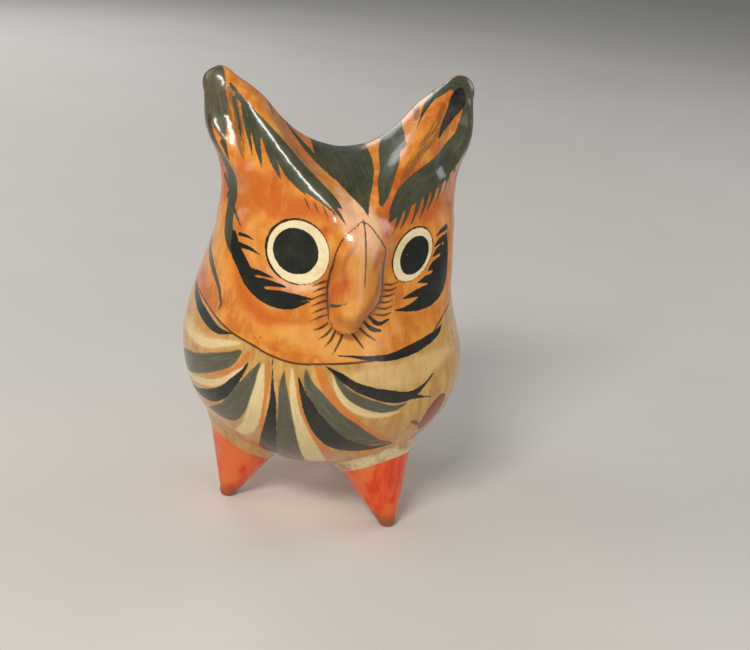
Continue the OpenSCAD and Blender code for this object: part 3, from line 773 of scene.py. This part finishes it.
def painted_clay(name):
    """Burnished clay with the brush painting of the attributes, under thin varnish."""
    m = Material(name)
    fine = m.noise(1.1, 4, 0.65)
    coarse = m.noise(0.12, 4, 0.6)
    blotch = m.noise(0.05, 3, 0.5, warp=0.6)
    down = m.noise(0.32, 4, 0.6, m.stretched(1, 1, 0.16))
    hairs = m.put("ShaderNodeMapping", {"Vector": m.mark("brush", "Vector"), "Scale": (1, 0.09, 1)})
    dry = m.noise(1.3 * MM, 4, 0.65, hairs.outputs[0])      # long streaks; the brush attribute is in mm
    edge = m.sum(m.times(m.sum(fine, -0.5), 0.5), m.times(m.sum(m.noise(0.35, 2), -0.5), 0.45))

    tan = m.mix(rgb(188, 138, 70), rgb(214, 170, 96), m.rise(down, 0.3, 0.7))
    tan = m.mix(tan, rgb(164, 106, 48), m.times(m.rise(coarse, 0.48, 0.72), 0.6))
    tan = m.mix(tan, rgb(208, 140, 70), m.times(m.rise(blotch, 0.5, 0.66), 0.6))
    amber = m.mix(rgb(206, 116, 30), rgb(232, 152, 58), m.rise(coarse, 0.35, 0.62))
    amber = m.mix(amber, rgb(196, 86, 22), m.rise(blotch, 0.48, 0.66, 0, 0.85))
    amber = m.mix(amber, rgb(238, 172, 92), m.times(m.rise(down, 0.5, 0.72), 0.6))

    def layer(below, mark, colour, amount=1.0, ragged=1.0, soft=0.12):
        value = m.sum(m.mark(mark), m.times(edge, ragged))
        cover = m.rise(value, -soft, soft)
        return m.mix(below, colour, m.times(cover, amount) if amount != 1.0 else cover), cover

    worn = m.rise(m.sum(fine, m.times(coarse, 0.5)), 0.44, 0.62)
    solid_paint = m.rise(dry, 0.26, 0.46, 0.9, 1.0)
    colour, head = layer(tan, "orange", amber, ragged=0.5, soft=0.25)
    ember = m.mix(rgb(190, 78, 16), rgb(216, 108, 30), fine)
    colour, _ = layer(colour, "ember", ember, m.rise(coarse, 0.3, 0.6, 0.3, 0.85), 3, 2)
    # the pale patches: a paler tone of the paint, over the brow and under the right eye partly a painted
    # highlight
    cream_light = m.mix(rgb(222, 182, 114), rgb(236, 202, 146), down)
    pink_light = m.mix(rgb(246, 190, 138), rgb(255, 216, 178), down)
    pale = m.mix(cream_light, pink_light, head)
    colour, _ = layer(colour, "pale", pale, m.rise(coarse, 0.3, 0.6, 0.5, 0.9), 2.0, 1.8)
    # the bright patches: a brighter tone of the paint, and down the ridge of the beak a painted highlight
    bright_and_sheen = m.mix(rgb(222, 144, 62), rgb(244, 182, 94), down)
    colour, _ = layer(colour, "bright_and_sheen", bright_and_sheen, m.rise(coarse, 0.3, 0.6, 0.6, 0.9), 2, 1.8)
    colour, _ = layer(colour, "shade", rgb(132, 66, 22), m.rise(coarse, 0.3, 0.65, 0.35, 0.7), 1.5, 1.4)
    colour, _ = layer(colour, "amber", m.mix(rgb(200, 104, 38), rgb(222, 136, 58), coarse), 0.85, soft=0.3)
    dusty = m.rise(m.sum(dry, m.times(m.sum(fine, -0.5), 0.3)), 0.36, 0.56, 0.15, 0.9)
    colour, _ = layer(colour, "gold", m.mix(rgb(98, 68, 28), rgb(158, 106, 44), dry), dusty, 1.6, 0.4)
    cream = m.mix(rgb(204, 172, 108), rgb(230, 206, 148), m.rise(dry, 0.35, 0.6))
    colour, _ = layer(colour, "cream", m.mix(cream, rgb(238, 220, 170), m.times(worn, 0.5)), 0.88, soft=0.3)
    patchy = m.rise(m.sum(coarse, m.times(m.sum(fine, -0.5), 0.4)), 0.3, 0.55)
    bone = m.mix(rgb(226, 206, 152), rgb(246, 232, 190), patchy)
    colour, _ = layer(colour, "bone", bone, 0.97, 0.7)
    grey = m.mix(rgb(54, 60, 48), rgb(98, 98, 78), m.rise(dry, 0.35, 0.65))
    colour, a = layer(colour, "grey", grey, m.rise(dry, 0.3, 0.55, 0.82, 1.0), soft=0.3)
    uneven = m.rise(m.sum(m.times(dry, 0.6), m.times(coarse, 0.4)), 0.36, 0.66)
    olive = m.mix(rgb(50, 55, 38), rgb(84, 86, 62), uneven)
    colour, b = layer(colour, "olive", olive, solid_paint, 1.2)
    colour, c = layer(colour, "black", m.mix(rgb(16, 19, 12), rgb(38, 39, 27), m.rise(coarse, 0.4, 0.7)))
    colour, d = layer(colour, "line", rgb(46, 24, 10), 0.9, 0.35, 0.15)
    colour, _ = layer(colour, "rust", m.mix(rgb(126, 36, 14), rgb(160, 60, 26), dry))

    speck = m.times(m.rise(m.cells(0.35), 0.11, 0.06), m.rise(m.noise(0.09, 2), 0.52, 0.6))
    colour = m.mix(colour, rgb(60, 36, 18), m.times(speck, 0.8))
    chip = m.times(m.rise(m.cells(0.22), 0.09, 0.05), m.rise(m.noise(0.13, 2), 0.57, 0.62))
    colour = m.mix(colour, rgb(205, 192, 166), m.times(chip, m.sum(b, c, "MAXIMUM")))
    clay = m.mix(rgb(150, 92, 62), rgb(176, 116, 82), coarse)
    colour = m.mix(clay, colour, m.rise(m.mark("outside"), 0.4, 0.6))

    paint = m.sum(m.sum(a, b, "MAXIMUM"), m.sum(c, d, "MAXIMUM"), "MAXIMUM")
    rough = m.sum(m.rise(fine, 0.3, 0.7, 0.26, 0.42), m.times(paint, 0.06))
    relief = m.sum(m.times(paint, 0.04), m.times(chip, -0.1))
    height = m.sum(m.noise(0.12, 2), m.sum(m.times(fine, 0.03), relief))
    return m.finish(colour, rough, height, 0.35, 0.6, 0.12)


def red_slip(name):
    """Burnished red slip of the feet, in paler blotches, and browner at the tips."""
    m = Material(name)
    fine = m.noise(1.1, 4, 0.65)
    coarse = m.noise(0.14, 4, 0.6)
    down = m.noise(0.4, 4, 0.6, m.stretched(1, 1, 0.25))
    blotch = m.noise(0.07, 3, 0.5, warp=0.8)
    colour = m.mix(rgb(218, 58, 12), rgb(238, 90, 28), m.rise(down, 0.35, 0.65))
    colour = m.mix(colour, rgb(234, 118, 50), m.rise(blotch, 0.5, 0.66, 0, 0.8))
    height = m.put("ShaderNodeSeparateXYZ", {0: m.place}).outputs[2]
    ragged = m.sum(height, m.times(m.sum(coarse, -0.5), 12 * MM))
    colour = m.mix(rgb(150, 84, 50), colour, m.rise(ragged, 1 * MM, 6 * MM))
    speck = m.times(m.rise(m.cells(0.4), 0.12, 0.06), m.rise(m.noise(0.1, 2), 0.5, 0.58))
    colour = m.mix(colour, rgb(96, 34, 20), m.times(speck, 0.8))
    rough = m.rise(fine, 0.3, 0.7, 0.28, 0.46)
    return m.finish(colour, rough, m.sum(m.noise(0.2, 3), m.times(fine, 0.12)), 0.3, 0.4, 0.14)


def cream_slip(name):
    """Cream slip brushed round the tops of the feet, thin enough to show the clay."""
    m = Material(name)
    fine = m.noise(1.1, 4, 0.65)
    coarse = m.noise(0.16, 4, 0.6)
    patchy = m.rise(m.sum(coarse, m.times(m.sum(fine, -0.5), 0.3)), 0.38, 0.56)
    colour = m.mix(rgb(190, 150, 96), rgb(228, 206, 160), patchy)
    colour = m.mix(colour, rgb(150, 92, 50), m.rise(m.noise(0.5, 4, 0.7), 0.6, 0.74, 0, 0.7))
    rough = m.rise(fine, 0.3, 0.7, 0.3, 0.46)
    return m.finish(colour, rough, m.sum(m.noise(0.2, 3), m.times(fine, 0.12)), 0.3, 0.6, 0.14)


def raw_clay(name):
    """Unpainted, finger-smeared clay of the seams inside."""
    m = Material(name)
    fine = m.noise(0.9, 5, 0.7)
    coarse = m.noise(0.1, 4, 0.6)
    colour = m.mix(rgb(150, 92, 62), rgb(184, 124, 88), m.rise(coarse, 0.35, 0.65))
    colour = m.mix(colour, rgb(120, 70, 46), m.rise(fine, 0.55, 0.7, 0, 0.6))
    rough = m.rise(fine, 0.3, 0.7, 0.75, 0.95)
    return m.finish(colour, rough, m.sum(coarse, m.times(fine, 0.5)), 0.5, 0.0)


SLOTS = {
    "painted_head": (painted_clay, ("face_shell", "nape_shell", "ear_right", "ear_left")),
    "painted_body": (painted_clay, ("body_front_shell", "body_back_shell")),
    "painted_beak": (painted_clay, ("beak",)),
    "red_feet": (red_slip, ("foot_front_right", "foot_front_left", "foot_rear")),
    "cream_collar": (cream_slip, ("collar_front_right", "collar_front_left", "collar_rear")),
}


def dress(pieces):
    """Gives every piece its material, named after its slot, and its body, and hides the CAD node it stands
    for; the coils inside get raw clay.
    """
    run_over = painted_clay("painted_collar")      # the brushwork of the belly runs over this collar
    for slot, (recipe, names) in SLOTS.items():
        material = recipe(slot)
        for name in names:
            piece = pieces[name]
            piece.data.materials.clear()
            piece.data.materials.append(run_over if name == "collar_front_right" else material)
            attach(piece, "root")
            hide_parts(name)
    clay = raw_clay("raw_clay")
    for name in ("body_seam_coil", "neck_coil", "head_seam_coil"):
        coil = frame["nodes"][name]
        coil.data.materials.clear()
        coil.data.materials.append(clay)


# ---------------------------------------------------------------- floor, light and camera
def make_floor():
    """A wide pale sheet of paper for the owl to stand on."""
    m = Material("pale_paper")
    colour = m.mix(rgb(214, 211, 205), rgb(224, 222, 217), m.noise(0.01, 3))
    material = m.finish(colour, 0.7, m.noise(0.4, 3), 0.05, 0.0)
    bm = bmesh.new()
    bmesh.ops.create_grid(bm, x_segments=1, y_segments=1, size=3)
    mesh = bpy.data.meshes.new("floor")
    bm.to_mesh(mesh)
    bm.free()
    mesh.materials.append(material)
    new_object("floor", mesh)


def make_light(name, place, aim, size, power, warmth=(1, 1, 1)):
    """A rectangular soft light. place and aim are in metres."""
    lamp = bpy.data.lights.new(name, "AREA")
    lamp.shape = "RECTANGLE"
    lamp.size, lamp.size_y = size
    lamp.energy = power
    lamp.color = warmth
    o = bpy.data.objects.new(name, lamp)
    bpy.context.scene.collection.objects.link(o)
    o.location = place
    o.rotation_euler = (Vector(aim) - Vector(place)).to_track_quat("-Z", "Y").to_euler()


def make_lights():
    """A key light that gleams along the brow ridge, soft light from both sides, and two from behind."""
    aim = (0, 0, 0.08)
    make_light("key", (-0.05, -0.79, 0.71), aim, (0.34, 0.18), 6.3, (1, 0.95, 0.88))
    make_light("left", (-0.80, -0.30, 0.60), aim, (0.60, 0.50), 2.2, (1, 0.96, 0.9))
    make_light("right", (0.80, -0.40, 0.35), aim, (0.50, 0.50), 1.2, (1, 0.96, 0.9))
    make_light("back_left", (-0.65, 0.70, 0.45), aim, (0.50, 0.50), 2)
    make_light("back_right", (0.65, 0.70, 0.45), aim, (0.50, 0.50), 2)
    world = bpy.data.worlds.new("studio")
    bpy.context.scene.world = world
    world.use_nodes = True
    world.node_tree.nodes["Background"].inputs["Color"].default_value = (0.97, 0.97, 1.0, 1)
    world.node_tree.nodes["Background"].inputs["Strength"].default_value = 0.18
    bpy.context.scene.view_settings.view_transform = "Standard"


def make_camera():
    """Looks down on the owl from a little to its left, tilted as if hand-held."""
    azimuth, height, tilt = radians(15), radians(20), radians(5.3)
    away = 0.5
    aside, below = 0.01574, 0.01148     # how far the view's middle lies from the owl's, in metres
    back = Vector((sin(azimuth) * cos(height), -cos(azimuth) * cos(height), sin(height)))
    right = Vector((cos(azimuth), sin(azimuth), 0))
    up = right.cross(-back)
    right, up = right * cos(tilt) + up * sin(tilt), up * cos(tilt) - right * sin(tilt)
    place = Vector((0, 0, OWL_MIDDLE * MM)) + back * away + right * aside - up * below
    lens = bpy.data.cameras.new("camera")
    lens.lens = 73.2
    lens.sensor_width = 36
    lens.clip_start = 0.01
    camera = new_object("camera", lens)
    camera.matrix_world = Matrix((right, up, back)).transposed().to_4x4()
    camera.location = place
    bpy.context.scene.camera = camera


pieces = make_pieces()
paint_skin(pieces)
dress(pieces)
make_floor()
make_lights()
make_camera()
